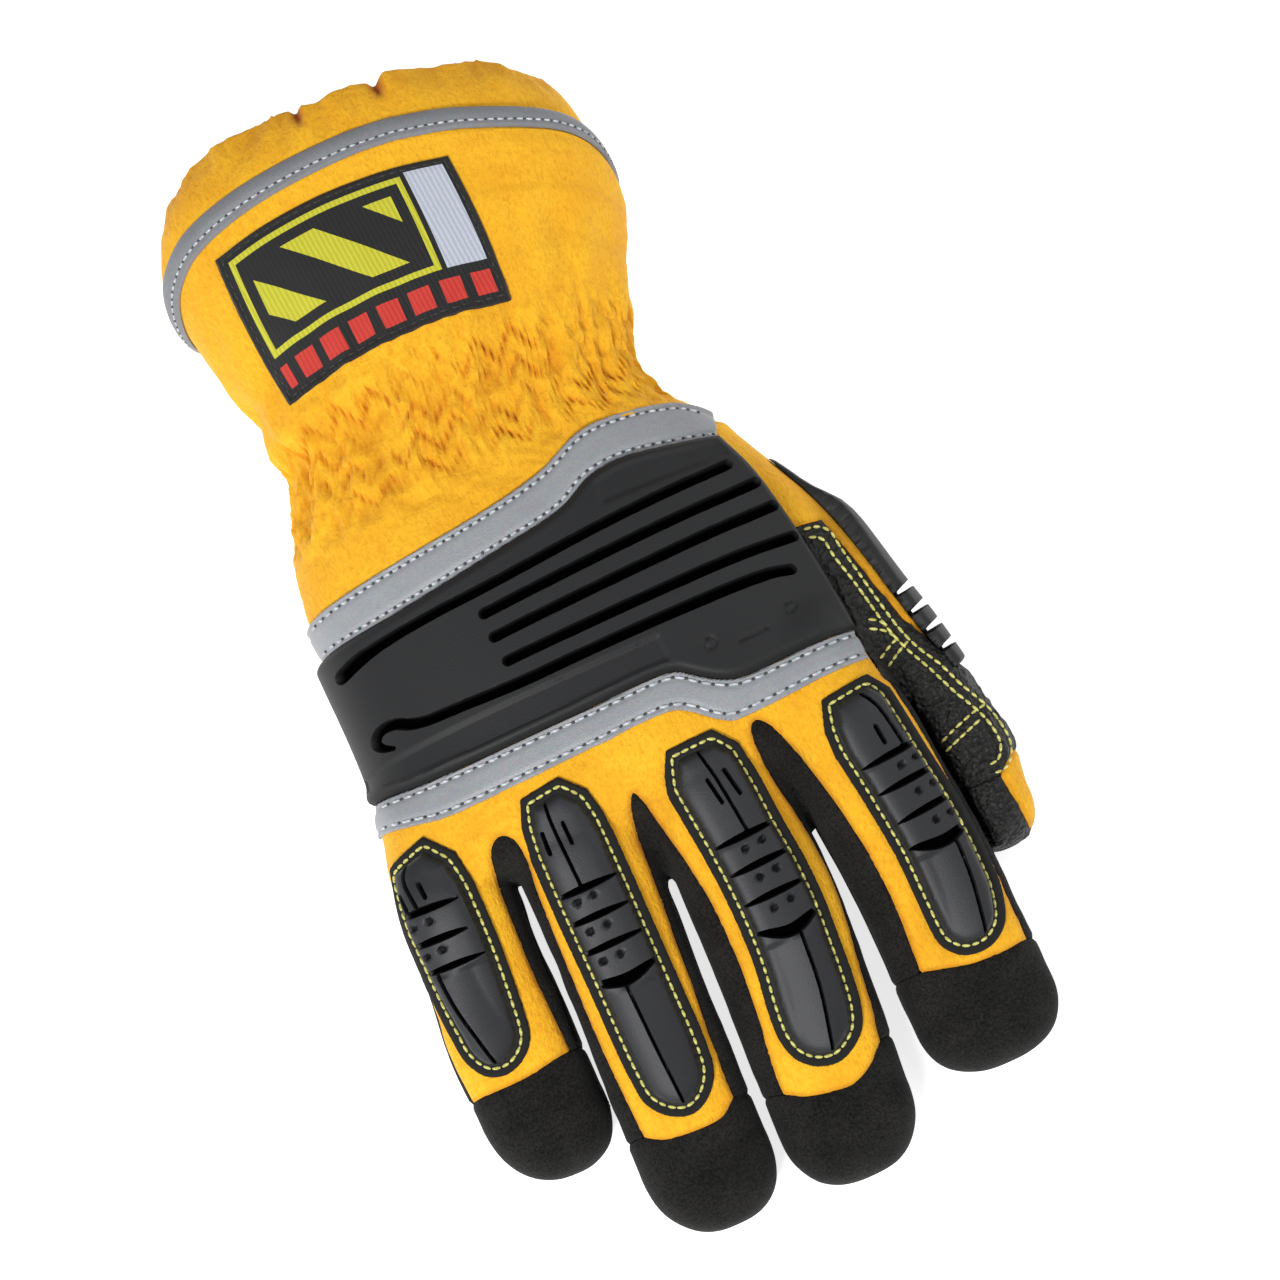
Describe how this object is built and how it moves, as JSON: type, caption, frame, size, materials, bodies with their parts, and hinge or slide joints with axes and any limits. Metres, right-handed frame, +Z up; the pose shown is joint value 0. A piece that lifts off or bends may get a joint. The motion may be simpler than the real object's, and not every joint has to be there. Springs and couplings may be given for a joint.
{
  "type": "extrication glove",
  "caption": "Padded gauntlet work glove for the right hand, lying palm down, with moulded knuckle and finger guards and reflective tape.",
  "frame": {"origin": "middle of the glove's footprint, on the surface that it lies on, palm down", "axes": "+Y from the fingertips to the cuff opening, +X towards the thumb, +Z up out of the back of the hand"},
  "size_m": [0.1483, 0.2686, 0.0629],
  "materials": {
    "yellow_fabric": "woven stretch nylon, high-visibility yellow, matte",
    "black_suede": "synthetic suede, short nap",
    "grip_leather": "pebbled grip leather",
    "guard_rubber": "moulded thermoplastic rubber, satin",
    "reflective_tape": "silver retroreflective tape",
    "woven_patch": "woven patch, plain coloured bands"
  },
  "bodies": {
    "root": {"cuff": "yellow_fabric", "cuff_hem": "yellow_fabric", "cuff_tape": "reflective_tape", "cuff_patch": "woven_patch", "back_panel": "yellow_fabric", "wrist_tape": "reflective_tape", "knuckle_guard": "guard_rubber", "knuckle_tape": "reflective_tape", "little_guard": "guard_rubber", "ring_guard": "guard_rubber", "middle_guard": "guard_rubber", "index_guard": "guard_rubber", "side_strip_little_ring": "black_suede", "side_strip_ring_middle": "black_suede", "side_strip_middle_index": "black_suede", "index_side": "black_suede", "little_cap": "black_suede", "ring_cap": "black_suede", "middle_cap": "black_suede", "index_cap": "black_suede", "palm": "black_suede", "thumb_palm": "black_suede", "thumb_back": "yellow_fabric", "thumb_saddle": "grip_leather", "thumb_tip": "grip_leather", "thumb_guard": "guard_rubber"}
  },
  "joints": []
}
